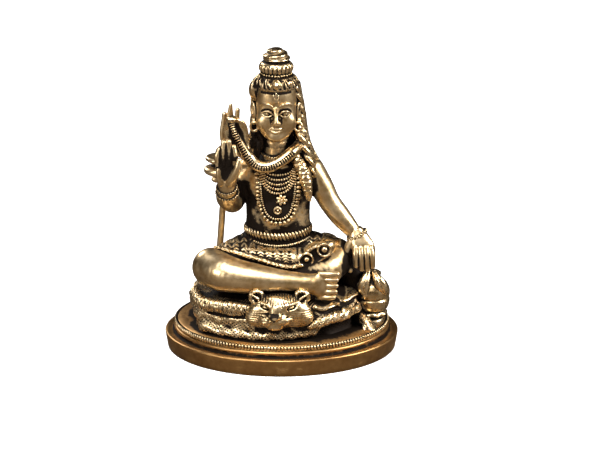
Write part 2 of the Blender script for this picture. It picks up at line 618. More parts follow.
def face():
    """The head from the neck up to the hair line: plain, calm and even."""
    c = Carving("head", (-11.5, -12, 53), (8.5, 8, 80.5), 0.19)
    c.levels(
        [[53.5, HEAD_X, 0.6, 4.2, 4.2], [58, HEAD_X, 0.6, 4, 4], [64, HEAD_X, 0.8, 4.1, 4.1]],
        blend=0.5,
    )
    c.levels(
        [
            [60.8, HEAD_X, -4.8, 2.2, 1.7], [61.8, HEAD_X, -3.8, 3.9, 3.2],
            [64, HEAD_X, -2.4, 5.4, 4.9], [67, HEAD_X, -1.3, 6.3, 6.0], [71.5, HEAD_X, -0.6, 6.6, 6.8],
            [75, HEAD_X, -0.3, 6.6, 6.9], [79.6, HEAD_X, 0, 6.2, 6.4],
        ],
        squareness=2.2, blend=1.2,
    )
    c.pebble((HEAD_X, -6.2, 62.2), (1.9, 1.2, 1.3), blend=1.2)
    nose = ((0, -7.2, 71.6, 0.6), (0, -7.9, 69.4, 0.65), (0, -8.6, 67.4, 0.85))
    upper = (
        (1.1, -7.4, 69.9, 0.2), (2.1, -7.8, 70.9, 0.3), (3.4, -7.6, 71, 0.3), (4.7, -6.5, 70.2, 0.22),
    )
    lower = (
        (1.1, -7.4, 69.8, 0.16), (2.3, -7.6, 69.2, 0.22), (3.5, -7.3, 69.2, 0.22),
        (4.7, -6.5, 70, 0.16),
    )
    brow = (
        (1.1, -7.8, 72.6, 0.26), (2.4, -7.7, 73.3, 0.36), (3.8, -6.9, 73.3, 0.34),
        (5.2, -5.6, 72.5, 0.24),
    )

    def across(rows, side=1):
        return [[HEAD_X + side * offset, y, z, r] for offset, y, z, r in rows]

    for side in (-1, 1):
        def x(offset):
            return HEAD_X + side * offset

        c.pebble((x(3.5), -5, 66.6), (2.7, 1.9, 2.8), blend=1.6)
        c.pebble((x(2.8), -8, 70.2), (2, 0.9, 1.05), (0, side * 4, 0), blend=0.8, way="cut")
        c.pebble((x(2.8), -6.2, 70.1), (1.75, 1.25, 0.95), (0, side * 3, side * 8), blend=0.08)
        for rows, blend in ((upper, 0.1), (lower, 0.1), (brow, 0.15)):
            c.limb(across(rows, side), blend=blend)
        c.pebble((x(2.8), -7.4, 70.1), (0.55, 0.24, 0.6), blend=0.05)
        c.pebble((x(0.95), -8, 67.1), (0.62, 0.75, 0.55), blend=0.3)
        c.pebble((x(6.9), -1.6, 69.4), (1.0, 1.6, 3.2), (0, side * 8, 0), blend=0.3)
        c.pebble((x(7.6), -2.5, 69.7), (0.55, 0.9, 2.1), way="cut", blend=0.3)
        c.pebble((x(7.1), -2.2, 66.2), (0.9, 0.9, 1.2), blend=0.3)
        c.hoop((x(7), -2.9, 64.6), (1.2, 1.45), 0.4, 0.1)
    c.limb(across(nose), blend=0.8)
    upper = (
        (-2.3, -6.8, 65.1, 0.2), (-0.8, -7.6, 65.2, 0.4), (0, -7.7, 65.05, 0.36),
        (0.8, -7.6, 65.2, 0.4), (2.3, -6.8, 65.1, 0.2),
    )
    lower = ((-1.9, -6.9, 64.6, 0.24), (0, -7.5, 63.95, 0.5), (1.9, -6.9, 64.6, 0.24))
    parting = ((-2.4, -7.1, 65, 0.16), (0, -8, 64.55, 0.2), (2.4, -7.1, 65, 0.16))
    c.limb(across(upper), blend=0.25)
    c.limb(across(lower), blend=0.25)
    c.limb(across(parting), blend=0.08, way="cut")
    for x, high in ((-0.8, 76.1), (0, 76.7), (0.8, 76.1)):
        c.limb([[HEAD_X + x * 0.6, -7.6, 73.8, 0.24], [HEAD_X + x, -7.3, high, 0.3]], blend=0.04)
    return c


def hair():
    c = Carving("hair", (-14, -12, 36), (16, 15, 91.5), 0.27)

    def tiers(z, angle):
        leaf = np.abs(np.mod(angle * 15 / math.pi, 2) - 1)
        crown = 0.5 * (0.5 - np.abs(leaf - (z - 77.6) / 3.2))
        crown = crown * kept(1.6 - np.abs(z - 79.1) / 1.1)
        flutes = 0.3 * np.sin(22 * angle) * kept(1.5 - np.abs(z - 83.6) / 1.0)
        coil = 0.3 * np.cos(3.7 * z - angle) * kept((z - 86.2) / 0.6)
        return crown + flutes + coil * kept((89.6 - z) / 0.5)

    c.turned(
        [
            [5.6, 76.4], [6.4, 76.9], [6.9, 77.4], [7.0, 78.2], [6.8, 79.4], [6.5, 80.3], [5.9, 80.9],
            [5.0, 81.2], [4.6, 81.5], [4.6, 82], [5.0, 82.3], [5.3, 83], [5.3, 84.2], [5.0, 85],
            [4.5, 85.4], [3.9, 85.6], [3.8, 85.9], [4.1, 86.1], [4.4, 86.5], [4.1, 87.2], [3.7, 87.8],
            [3.2, 88.4], [2.7, 89], [2.1, 89.5], [1.4, 89.8], [0.2, 90],
        ],
        (HEAD_X, -0.4, 0), relief=tiers,
    )
    c.pebble((HEAD_X, -7.4, 79.4), (1.1, 0.8, 1.3), blend=0.15)
    c.pebble((HEAD_X, -8.1, 79.4), (0.5, 0.4, 0.6), blend=0.05)

    def strands(z, angle):
        wave = np.sin(24 * angle + 2.2 * np.sin(z * 0.7))
        return 0.32 * wave + 0.2 * np.sin(8 * angle + 0.9 * z)

    c.levels(
        [
            [38, BODY_X, 7, 5.6, 1.6], [46, BODY_X, 7.2, 9, 2.6], [58, HEAD_X, 5.2, 8.6, 3.8],
            [66, HEAD_X, 4, 8.0, 4.4], [71, HEAD_X, 3, 7.8, 5.4], [78.4, HEAD_X, 1.6, 6.6, 5.8],
        ],
        relief=strands, blend=0.4,
    )

    def waved(s, a):
        return 0.26 * np.sin(3 * a + 1.6 * s)

    locks = [
        [
            [-7.5, -2, 77.2, 1], [-8.5, -0.4, 73, 1.1], [-8.6, 0.6, 68, 1.1], [-8, 0.6, 63, 1.5],
            [-8.8, -0.6, 58, 1.3],
        ],
        [[-6.9, -0.4, 63, 1.2], [-6.4, -1.2, 60, 1.3], [-7.2, -1.8, 57, 1.1], [-8.4, -1.6, 53, 0.9]],
        [
            [4.4, -2, 77.4, 1.2], [5.6, -0.8, 73, 1.3], [6.4, 0, 68, 1.4], [6.4, 0.2, 63, 1.7],
            [8.4, -1, 57, 1.6], [10, -2.2, 51.6, 1.1],
        ],
        [
            [5.4, -0.8, 63.6, 1.2], [6.4, -1.8, 60, 1.5], [8, -2.4, 56, 1.4], [9.6, -3.2, 52, 1.1],
            [10.6, -3.6, 48.6, 0.7],
        ],
    ]
    for lock in locks:
        c.limb(lock, wide=(0, 1, 0), blend=0.15, relief=waved)
    c.limb(
        [[4.8, 0.4, 78, 1.4], [6.4, 0.6, 70, 1.2], [8.6, 1.4, 58.4, 0.9], [12.4, 2, 50.4, 0.8]],
        blend=0.2,
    )
    roll = [[-7, -3, 81, 0.9], [-8.1, -3, 79, 1.4], [-8.7, -2.8, 76.4, 1.5], [-8.3, -2.8, 74, 0.9]]
    c.limb(roll, blend=0.1, relief=lambda s, a: 0.16 * np.sin(a * 5 + s))
    return c


# The front of the cobra, from its head down its hood and along its body: [x, y, z].
COBRA_FRONT = [
    [-15.6, -7.8, 66.8], [-14.3, -7.3, 62.6], [-12.6, -7.9, 59.4], [-10.9, -8.8, 56.6],
    [-8.6, -9.6, 53.9], [-5.6, -10, 52.8], [-2.4, -9.8, 53.4], [0.6, -9, 55], [3.4, -7, 56.8],
]


def cobra_line(steps):
    """Places on a smooth curve along the cobra's front."""
    return course([[*place, 1] for place in COBRA_FRONT], steps)[0]


def cobra():
    c = Carving("cobra", (-20, -12, 39), (10, 6.5, 71), 0.2)
    hood = [
        [-15.6, -6.6, 68.2, 1.6, 1.2], [-14.9, -5.6, 66, 3.6, 1.1], [-14.1, -5.4, 62.6, 3.9, 1.1],
        [-12.7, -5.7, 58.6, 2.9, 1.2], [-10.6, -6.4, 55.6, 1.8, 1.5],
    ]
    c.limb(hood, steps=8)
    hollow = [[-15, -7.2, 66, 2.5, 1], [-14.1, -7.1, 62.8, 3, 1.2], [-12.9, -7.5, 59, 2.1, 0.9]]
    c.limb(hollow, way="cut", blend=0.25)
    c.pebble((-15.6, -7.3, 68.2), (1.7, 1.4, 1.2), blend=0.4)
    for side in (-1, 1):
        c.pebble((-15.6 + side * 0.9, -8.3, 68.5), (0.36, 0.36, 0.36), blend=0.05)
    c.limb(
        [[x, y + 1, z, r] for (x, y, z), r in zip(COBRA_FRONT[:4], (0.8, 1.1, 1.3, 1.6))], steps=8,
        blend=0.1,
    )
    body = [[x, y + 1.9, z, 1.9] for x, y, z in COBRA_FRONT[3:]]
    c.limb(body + [[5.8, -0.4, 57.8, 1.9], [5.6, 3, 57.2, 1.8]], steps=8, blend=0.3)
    tail = [
        [4.6, -4.4, 54.6, 1.6], [7.4, -5.8, 49.6, 1.9], [8.4, -6.2, 44.6, 1.4], [8.9, -6, 41.4, 0.6],
    ]
    c.limb(tail, steps=6, relief=lambda s, a: 0.28 * np.sin(s * 4.4 + 2 * a), blend=0.15)
    return c


def trident():
    c = Carving("trident", (-26, -5, 8), (-12.5, 6.5, 71), 0.25)
    shaft = [[-20.8, 3.2, 9.4, 1.15], [-20.2, 3.1, 18, 1.1], [-17.2, 2.4, 59.6, 1.05]]
    prongs = [
        [[-16.9, 2.4, 58, 0.9], [-16.4, 2.4, 65, 1.25, 0.8], [-16.1, 2.4, 70.2, 0.6]],
        [[-17.2, 2.4, 56.8, 0.8], [-18.7, 2.4, 59.2, 0.95], [-18.1, 2.4, 67.2, 0.8]],
        [[-16.8, 2.4, 56.8, 0.8], [-14.9, 2.4, 59.2, 0.95], [-13.9, 2.4, 68.6, 0.75]],
    ]
    for stations in (shaft, *prongs):
        c.limb(stations, blend=0.3)
    drum = [
        [2, -3.6], [4.4, -3.4], [5, -2.9], [5.1, -1.9], [4.6, -1.3], [2.4, -0.7], [1.6, 0], [2.2, 0.4],
        [4.2, 0.8], [4.8, 1.2], [4.8, 1.9], [4.3, 2.4], [2, 2.6],
    ]
    c.turned(drum, (-19.6, 1, 51.2), turn=(0, 4, 0))
    c.pebble((-20.6, 2.2, 45.6), (1.9, 1.1, 1.2))
    return c


MAKERS = [
    rock_and_skin, tiger_head, hips_and_cloth, shins_and_feet, trunk_and_arms, pendants, raised_hand,
    lowered_hand, water_pot, face, hair, cobra, trident,
]
with ThreadPoolExecutor(4) as pool:
    CARVINGS = list(pool.map(lambda make: make(), MAKERS))

# The room round every place: how much of a small and of a wider ball round it is brass.
PITCH = 0.5
ROOM_LOW = np.array([-40.0, -34.0, -12.0])
ROOM_HIGH = np.array([40.0, 34.0, 94.0])


def brass_room():
    counts = np.ceil((ROOM_HIGH - ROOM_LOW) / PITCH).astype(int)
    room = np.zeros(counts, np.float32)
    for c in CARVINGS:
        size = np.array(c.d.shape) * c.step
        first = np.maximum(np.ceil((c.low - ROOM_LOW) / PITCH).astype(int), 0)
        last = np.minimum(np.floor((c.low + size - ROOM_LOW) / PITCH).astype(int), counts)
        picks = []
        for a in range(3):
            places = ROOM_LOW[a] + PITCH * np.arange(first[a], last[a])
            nearest = np.round((places - c.low[a]) / c.step)
            picks.append(np.clip(nearest, 0, c.d.shape[a] - 1).astype(int))
        part = c.d[np.ix_(*picks)]
        cut = tuple(slice(f, l) for f, l in zip(first, last))
        room[cut] = np.maximum(room[cut], kept(0.5 - part / PITCH))
    x, y, z = (ROOM_LOW[a] + PITCH * np.arange(counts[a]) for a in range(3))
    rim = np.sqrt((x[:, None] / BASE_WIDTH) ** 2 + (y[None, :] / BASE_DEPTH) ** 2) * 2 * UNIT
    step = 1 - 2 * LEDGE_WIDTH / BASE_WIDTH
    plate_top = -STEP_HEIGHT / UNIT
    room[(rim < 1)[:, :, None] & (z < plate_top) & (z > -DECK_HEIGHT / UNIT)] = 1
    room[(rim < step)[:, :, None] & (z < 0)] = 1
    return room


ROOM = brass_room()
NEAR_ROOM = blurred(ROOM, 2)
WIDE_ROOM = blurred(ROOM, 5)
# How full the two balls are over a flat place.
NEAR_FLAT = 0.42
WIDE_FLAT = 0.38


def recess_at(points, normals):
    """How sunk each point of a surface lies among the brass round it, from about -1 to 1."""
    near = trilinear(NEAR_ROOM, (points + normals * 0.3 - ROOM_LOW) / PITCH)
    wide = trilinear(WIDE_ROOM, (points + normals * 1.0 - ROOM_LOW) / PITCH)
    return (near - NEAR_FLAT) * 1.6, (wide - WIDE_FLAT) * 2.0


# The meshes.


def mesh_object(name, points, faces):
    """A smooth mesh object from points in metres and faces with the same number of corners."""
    mesh = bpy.data.meshes.new(name)
    faces = np.asarray(faces, np.int32)
    mesh.vertices.add(len(points))
    mesh.vertices.foreach_set("co", np.asarray(points, np.float32).ravel())
    mesh.loops.add(faces.size)
    mesh.loops.foreach_set("vertex_index", faces.ravel())
    mesh.polygons.add(len(faces))
    mesh.polygons.foreach_set("loop_start", np.arange(0, faces.size, faces.shape[1], dtype=np.int32))
    mesh.update(calc_edges=True)
    mesh.validate()
    mesh.shade_smooth()
    made = bpy.data.objects.new(name, mesh)
    bpy.context.scene.collection.objects.link(made)
    return made


def set_attribute(mesh, name, values):
    held = mesh.attributes.get(name) or mesh.attributes.new(name, "FLOAT", "POINT")
    held.data.foreach_set("value", np.asarray(values, np.float32))


def normals_of(mesh):
    held = np.zeros(len(mesh.vertices) * 3, np.float32)
    mesh.vertex_normals.foreach_get("vector", held)
    return held.reshape(-1, 3)


def skinned(c):
    """The skin of a carving, and how hollow its own surface is at each point."""
    points, quads = c.skin()
    smooth = blurred(c.d.clip(-3, 3), max(1, round(0.4 / c.step)))
    return points, quads, -trilinear(smooth, (points - c.low) / c.step) / 0.5


# The cut marks of a piece: where its strokes and rows lie, and how deep both are cut.


def cloth_marks(x, y, z):
    """Feathered strokes down the columns of the skin round the hips, none on the knot."""
    stroke = z / 0.85 + 0.9 * saw(x / 2.6 + 0.1 * np.sin(z * 0.5))
    knot = ((x - 10.9) / 7.6) ** 2 + ((z - 25.2) / 4.6) ** 2 < 1
    bare = knot & (y < -9)
    return stroke, 0 * x, kept((15 - x) / 2) * (z > 18) * ~bare, 0 * x


def skin_marks(x, y, z):
    """Hatched fur on the rolled fold, punched dots on the apron and the lip."""
    fold = kept((z - 7.4) / 0.6) * (x < 11)
    fold = np.maximum(fold, (y > 0) & (z > 0.5))
    stroke = (x * 0.86 - y * 0.6) / 0.8 + 0.25 * z + 0.3 * np.sin(z * 1.3)
    dotted = (1 - fold) * (z > 0.4) * (y < 0) * (z < 9)
    stroke = np.where(fold > 0.5, stroke, x / 1.25 + 0.2 * np.sin(z * 1.6 + y * 0.7))
    row = z / 1.15 + 0.25 * np.sin(x * 0.9) + 0.12 * y
    return stroke, row, fold * 1.4, dotted * 1.3


def whisker_marks(x, y, z):
    """Fine lines over the tiger's cheeks and up its brow."""
    away = np.abs(x + 1)
    cheek = kept((away - 3.2) / 1.2) * (z < 11)
    brow = kept((z - 12.6) / 0.8) * (z < 17)
    stroke = np.where(z < 11.5, z / 0.72 + away * 0.35 - 0.02 * away**2, away / 0.8 + z * 0.3)
    return stroke, 0 * x, np.maximum(cheek * 1.2, brow * 1.4), 0 * x


def hair_marks(x, y, z):
    """Leaves cut into the band over the brow."""
    turn = np.arctan2(y + 0.4, x - HEAD_X) / TURN
    band = kept((z - 77.6) / 0.5) * kept((81 - z) / 0.5) * (y < 2)
    band = band * (np.hypot(x - HEAD_X, z - 79.4) > 1.5)
    return turn * 26 + 0.5 * saw(turn * 13) * (z - 78), 0 * x, 2.2 * band, 0 * x


MARKS = {"hips": cloth_marks, "seat": skin_marks, "tiger_head": whisker_marks, "hair": hair_marks}


# The stain of a piece: how much patina was never rubbed off there, and less than 0 where more was.


def trunk_stain(x, y, z):
    away = np.abs(x - BODY_X)
    chest = kept((6.6 * kept((z - 33.4) / 5) ** 0.5 - away) * 1.5)
    chest = chest * (z > 33.4) * (z < 51) * (y < -2)
    sides = kept((away - 6) / 3) * (away < 11.5) * np.where(x < BODY_X, 0.4, 0.22)
    inner_arm = kept(1.4 - np.abs(x - 9.8 - (48 - z) * 0.33) / 1.5) * (z > 37) * (z < 50)
    body = 0.55 + 0.12 * np.sin(z * 0.6 + x * 0.5) - 0.3 * (x > 10) + sides * (z < 47)
    body = body + 0.14 * kept((36 - z) / 4) + 0.5 * inner_arm * (x > 8)
    return np.where(chest > 0, 1.2 * chest, body)


def head_stain(x, y, z):
    away = np.abs(x - HEAD_X)
    sockets = kept(1.3 - ((away - 2.8) / 2.4) ** 2 - ((z - 70.4) / 1.7) ** 2)
    lip = kept(1 - (away / 2.2) ** 2 - ((z - 63) / 0.5) ** 2)
    mark = kept(1 - (away / 1.6) ** 2 - ((z - 75.2) / 1.8) ** 2)
    under_nose = (away < 1.3) & (z > 65.3) & (z < 66.9)
    hairline = kept((z - 76) / 0.5)
    beside_nose = kept(1 - ((away - 1.9) / 0.7) ** 2 - ((z - 67.6) / 2) ** 2)
    deep = 1.05 * sockets + 0.6 * beside_nose + 0.6 * lip + 0.9 * mark
    deep = deep - 0.5 * under_nose + 1.28 * hairline
    return deep * (y < -5) + 0.3 * kept((60.6 - z) / 2)


def palm_stain(x, y, z):
    front = kept((-9.2 - y) * 2) * kept((z - 48.8) / 1.5)
    fingers = kept(z - 52.6) - 0.1 * np.clip(z - 57, 0, 5)
    return front * (0.9 + 0.62 * fingers) * (x < np.where(z < 56, -15.4, -13))


def fingers_stain(x, y, z):
    return 0.85 * kept((24.6 - z) / 2) + 0.14


def cobra_stain(x, y, z):
    hood = kept((y + 7.6) * 3) * (y < -5.2) * kept((z - 57.5) / 2) * (x < -11)
    gaps = [np.hypot(x - p[0], z - p[2]) + (y > p[1] + 1.2) for p in cobra_line(5)]
    return np.maximum((0.72 + 0.2 * np.sin(1.3 * z + x)) * hood, 1.4 * (np.min(gaps, 0) < 0.95))


def hair_stain(x, y, z):
    grooves = kept(1.5 - np.abs(z - 81.7) / 0.7) + kept(1.4 - np.abs(z - 85.8) / 0.5)
    beside_neck = 1.3 * kept((67 - z) / 1.5) * (x < -4.2) * (y < 3)
    return np.maximum(beside_neck, 0.16 + 0.9 * grooves) + 0.25 * (z < 60)


def tiger_stain(x, y, z):
    nose = kept(1.6 - np.hypot((x + 2.3) / (0.4 + 0.9 * np.clip(z - 8.2, 0, 2)), (z - 9.4) / 1.3))
    return -0.28 + 2.6 * nose * (y < -26)


def hips_stain(x, y, z):
    gap = kept((x - 18.6) / 1.5) * np.clip((3 - y) / 3, 0.4, 1)
    knot = ((x - 10.9) / 7.2) ** 2 + ((z - 25.2) / 4.4) ** 2 < 1
    return np.maximum(0.9 * gap, 0.4 * (knot & (y < -9))) + 0.12 * (z > 20)


def shins_stain(x, y, z):
    return 0.8 * kept((x - 18.4) / 2) + 0.7 * (y > -17) * (x > 0) * kept((24 - z) / 3)


def pot_stain(x, y, z):
    return 0.14 * (z > 8) - 0.24


def seat_stain(x, y, z):
    under = kept((x - 11.5) / 2) * kept((4.6 - z) / 1.2) * (x < 25)
    rubbed = 0.26 * kept((6 - x) / 8)
    return np.maximum(under, 0.45 * kept((x - 11) / 2) * (z > 8.6)) * (y < 6) - rubbed


STAINS = {
    "trunk": trunk_stain, "head": head_stain, "raised_hand": palm_stain, "lowered_hand": fingers_stain,
    "cobra": cobra_stain, "hair": hair_stain, "tiger_head": tiger_stain, "hips": hips_stain,
    "shins": shins_stain, "pot": pot_stain, "seat": seat_stain,
}


def carved_object(c, skin):
    points, quads, fine = skin
    made = mesh_object(c.name, row_frame(points), quads)
    near, wide = recess_at(points, normals_of(made.data))
    if c.name in STAINS:
        wide = wide + STAINS[c.name](*points.T)
    set_attribute(made.data, "fine", np.clip(fine, -1, 1))
    set_attribute(made.data, "near", np.clip(near, -1, 1))
    set_attribute(made.data, "wide", np.clip(wide, -1, 1.4))
    if c.name in MARKS:
        for key, values in zip(("stroke", "row", "cut", "punch"), MARKS[c.name](*points.T)):
            set_attribute(made.data, key, values)
    return made


with ThreadPoolExecutor(4) as pool:
    skins = list(pool.map(skinned, CARVINGS))
SKINS = {c.name: carved_object(c, skin) for c, skin in zip(CARVINGS, skins)}


# The node trees.


class Wire:
    """A socket of a node tree. Arithmetic on wires adds Math nodes."""

    def __init__(self, bench, socket):
        self.bench, self.socket = bench, socket

    def math(self, operation, *others):
        values = dict(enumerate([self, *others]))
        return self.bench.node("ShaderNodeMath", values, operation=operation).out()

    def __add__(self, other):
        return self.math("ADD", other)

    def __sub__(self, other):
        return self.math("SUBTRACT", other)

    def __mul__(self, other):
        return self.math("MULTIPLY", other)

    def __truediv__(self, other):
        return self.math("DIVIDE", other)

    def __rsub__(self, other):
        return (self * -1) + other

    __radd__ = __add__
    __rmul__ = __mul__

    def clamped(self):
        return self.math("MAXIMUM", 0.0).math("MINIMUM", 1.0)


class Bench:
    """The node tree of a material, of the world or of a modifier."""

    def __init__(self, tree):
        self.tree = tree

    def node(self, kind, values=None, stops=(), **settings):
        made = self.tree.nodes.new(kind)
        for key, value in settings.items():
            setattr(made, key, value)
        if stops:
            elements = made.color_ramp.elements
            while len(elements) < len(stops):
                elements.new(0.5)
            for element, (place, colour) in zip(elements, stops):
                element.position, element.color = place, (*colour, 1)
        for key, value in (values or {}).items():
            socket = made.inputs[key]
            if isinstance(value, Wire):
                self.tree.links.new(value.socket, socket)
            else:
                socket.default_value = value
        return Step(self, made)


class Step:
    """A node that was added, whose outputs are taken as wires."""

    def __init__(self, bench, node):
        self.bench, self.made = bench, node

    def out(self, key=0):
        return Wire(self.bench, self.made.outputs[key])


# How tall the full height of the bump is, in metres.
BUMP_HEIGHT = 0.00012


def brass(name, polish, dark, bright, roughness, bump):
    """Antique brass: rubbed bright on the high places, dark brown in the recesses."""
    material = bpy.data.materials.new(name)
    material.use_nodes = True
    tree = material.node_tree
    tree.nodes.clear()
    b = Bench(tree)
    place = b.node("ShaderNodeTexCoord").out("Object")

    def noise(scale, detail=3.0):
        values = {"Vector": place, "Scale": scale, "Detail": detail, "Roughness": 0.55}
        return b.node("ShaderNodeTexNoise", values).out()

    def held_at(attribute):
        return b.node("ShaderNodeAttribute", attribute_name=attribute).out("Fac")

    def wave(attribute, operation):
        return (held_at(attribute) * TURN).math(operation)

    def mixed(share, first, second):
        return b.node("ShaderNodeMix", {0: share, 6: first, 7: second}, data_type="RGBA").out(2)

    cloud = noise(150)
    mottle = noise(700, 4.0)
    speck = noise(2600, 2.0)
    depth = held_at("fine") * 1.5 + held_at("near") * 1.1 + held_at("wide") * 0.75
    lines = (wave("stroke", "SINE") * 0.5 + 0.5) * held_at("cut")
    dots = wave("stroke", "COSINE") * wave("row", "COSINE")
    grooves = lines + (dots * 2.6 - 0.4).clamped() * held_at("punch")
    sunk = depth + (mottle - 0.5) * 0.5 + (cloud - 0.5) * 0.5 + (0.5 - polish)
    mask = ((sunk + grooves * 0.5) * 3.4).clamped()
    worn = ((0.0 - held_at("fine")) * 2.0 + (speck - 0.5) * 0.5).clamped()
    tone = {"Fac": cloud * 0.6 + mottle * 0.4}
    gold = b.node("ShaderNodeValToRGB", tone, stops=[(0.32, dark), (0.68, bright)]).out("Color")
    rubbed = tuple(min(1.0, v * 1.12) for v in bright)
    lit = mixed(worn * 0.6, gold, (*rubbed, 1))
    rough = (mask * 0.3 + (mottle - 0.5) * 0.22 + (speck - 0.5) * 0.1 + roughness).clamped()
    pits = ((noise(1500, 1.0) - 0.68) * 8.0).clamped()
    height = mottle * 0.5 + speck * 0.25 - pits * 0.8 - grooves.math("MINIMUM", 1.0) * 2.0
    raised = {"Strength": bump, "Distance": BUMP_HEIGHT, "Height": height}
    values = {
        "Base Color": mixed(mask, lit, (*PATINA, 1)), "Roughness": rough, "Metallic": 1.0 - mask * 0.5,
        "Specular IOR Level": 0.12, "Normal": b.node("ShaderNodeBump", raised).out("Normal"),
    }
    surface = b.node("ShaderNodeBsdfPrincipled", values).out()
    b.node("ShaderNodeOutputMaterial", {"Surface": surface})
    return material


GOLD_DARK = (0.47, 0.29, 0.11)
GOLD = (0.88, 0.68, 0.41)
PLATE_DARK = (0.36, 0.18, 0.06)
PLATE_BRIGHT = (0.55, 0.32, 0.12)
PATINA = (0.01, 0.006, 0.0035)
SKIN_BRASS = brass("polished_brass", 0.62, GOLD_DARK, GOLD, 0.35, 0.16)
CARVED_BRASS = brass("carved_brass", 0.42, GOLD_DARK, GOLD, 0.28, 0.5)
PLATE_BRASS = brass("satin_brass", 0.6, PLATE_DARK, PLATE_BRIGHT, 0.4, 0.25)

for name, made in SKINS.items():
    plain = name in ("trunk", "shins", "head", "raised_hand", "lowered_hand", "trident")
    made.data.materials.append(SKIN_BRASS if plain else CARVED_BRASS)


# The base, and what is grown along paths.


def grown(name, source, tree, values, material):
    """The plain mesh that a Geometry Nodes tree makes on a source object."""
    bpy.context.scene.collection.objects.link(source)
    modifier = source.modifiers.new("grow", "NODES")
    modifier.node_group = tree
    named = {item.name: item.identifier for item in tree.interface.items_tree if item.in_out == "INPUT"}
    for key, value in {**values, "Material": material}.items():
        modifier[named[key]] = value
    evaluated = source.evaluated_get(bpy.context.evaluated_depsgraph_get())
    mesh = bpy.data.meshes.new_from_object(evaluated)
    source.modifiers.remove(modifier)
    bpy.data.objects.remove(source)
    mesh.shade_smooth()
    made = bpy.data.objects.new(name, mesh)
    bpy.context.scene.collection.objects.link(made)
    return made


def new_tree(name, inputs):
    tree = bpy.data.node_groups.new(name, "GeometryNodeTree")
    tree.interface.new_socket("Geometry", in_out="INPUT", socket_type="NodeSocketGeometry")
    for key, kind in inputs.items():
        tree.interface.new_socket(key, in_out="INPUT", socket_type=kind)
    tree.interface.new_socket("Geometry", in_out="OUTPUT", socket_type="NodeSocketGeometry")
    b = Bench(tree)
    return b, b.node("NodeGroupInput"), b.node("NodeGroupOutput")


def path_source(name, points, closed=False):
    """A chain of edges through points in metres."""
    mesh = bpy.data.meshes.new(name)
    last = len(points) if closed else len(points) - 1
    edges = [(i, (i + 1) % len(points)) for i in range(last)]
    mesh.from_pydata([tuple(p) for p in points], edges, [])
    return bpy.data.objects.new(name, mesh)


def dressed(b, geometry, given, done):
    """Ends a tree: the geometry gets its material and goes out."""
    values = {"Geometry": geometry, "Material": given.out("Material")}
    ready = b.node("GeometryNodeSetMaterial", values).out()
    b.tree.links.new(ready.socket, done.made.inputs[0])
    return b.tree


def oval_tree():
    """A closed oval body: the source's points are its section, turned through a whole circle."""
    inputs = {"Sides": "NodeSocketInt", "Points": "NodeSocketInt"}
    inputs |= {"Depth Share": "NodeSocketFloat", "Material": "NodeSocketMaterial"}
    b, given, done = new_tree("oval_body", inputs)
    sides, points = given.out("Sides"), given.out("Points")
    size = {"Size X": 1.0, "Size Y": 1.0, "Vertices X": sides + 1, "Vertices Y": points}
    grid = b.node("GeometryNodeMeshGrid", size).out("Mesh")
    index = b.node("GeometryNodeInputIndex").out()
    turn = (index / points).math("FLOOR") / sides * TURN
    place = b.node("GeometryNodeInputPosition").out()
    section = {"Geometry": given.out("Geometry"), "Value": place, "Index": index.math("MODULO", points)}
    picked = b.node("GeometryNodeSampleIndex", section, data_type="FLOAT_VECTOR").out()
    parts = b.node("ShaderNodeSeparateXYZ", {0: picked})
    radius, height = parts.out("X"), parts.out("Z")
    x = radius * turn.math("COSINE")
    y = radius * turn.math("SINE") * given.out("Depth Share")
    position = b.node("ShaderNodeCombineXYZ", {"X": x, "Y": y, "Z": height}).out()
    moved = b.node("GeometryNodeSetPosition", {"Geometry": grid, "Position": position}).out()
    welded = b.node("GeometryNodeMergeByDistance", {"Geometry": moved, "Distance": 1e-6}).out()
    return dressed(b, welded, given, done)


def bead_tree():
    """Beads along the source's chain of edges, each stretched and leant as asked."""
    inputs = {"Spacing": "NodeSocketFloat", "Size": "NodeSocketVector"}
    inputs |= {"Lean": "NodeSocketFloat", "Material": "NodeSocketMaterial"}
    b, given, done = new_tree("beads", inputs)
    curve = b.node("GeometryNodeMeshToCurve", {"Mesh": given.out("Geometry")}).out()
    apart = {"Curve": curve, "Length": given.out("Spacing")}
    spaced = b.node("GeometryNodeResampleCurve", apart, mode="LENGTH").out()
    up = b.node("GeometryNodeInputNamedAttribute", {"Name": "up"}, data_type="FLOAT_VECTOR").out()
    tangent = b.node("GeometryNodeInputTangent").out()
    turn = b.node("FunctionNodeAlignRotationToVector", {"Vector": tangent}, axis="X").out()
    upright = {"Rotation": turn, "Vector": up}
    turn = b.node("FunctionNodeAlignRotationToVector", upright, axis="Z", pivot_axis="X").out()
    lean = b.node("ShaderNodeCombineXYZ", {"Z": given.out("Lean")}).out()
    both = {"Rotation": turn, "Rotate By": lean}
    leant = b.node("FunctionNodeRotateRotation", both, rotation_space="LOCAL").out()
    ball = b.node("GeometryNodeMeshUVSphere", {"Segments": 8, "Rings": 6, "Radius": 1.0}).out("Mesh")
    place = b.node("GeometryNodeInputPosition").out()
    parts = b.node("ShaderNodeSeparateXYZ", {0: place})
    x, y, z = (parts.out(key) for key in "XYZ")
    sunk = {"Geometry": ball, "Name": "near", "Value": 0.35 - z * 0.9 + x * x * 0.35 + y * y * 0.1}
    kind = {"data_type": "FLOAT", "domain": "POINT"}
    marked = b.node("GeometryNodeStoreNamedAttribute", sunk, **kind).out()
    set_out = {"Points": spaced, "Instance": marked, "Rotation": leant, "Scale": given.out("Size")}
    placed = b.node("GeometryNodeInstanceOnPoints", set_out).out()
    real = b.node("GeometryNodeRealizeInstances", {"Geometry": placed}).out()
    return dressed(b, real, given, done)


OVAL = oval_tree()
BEADS = bead_tree()


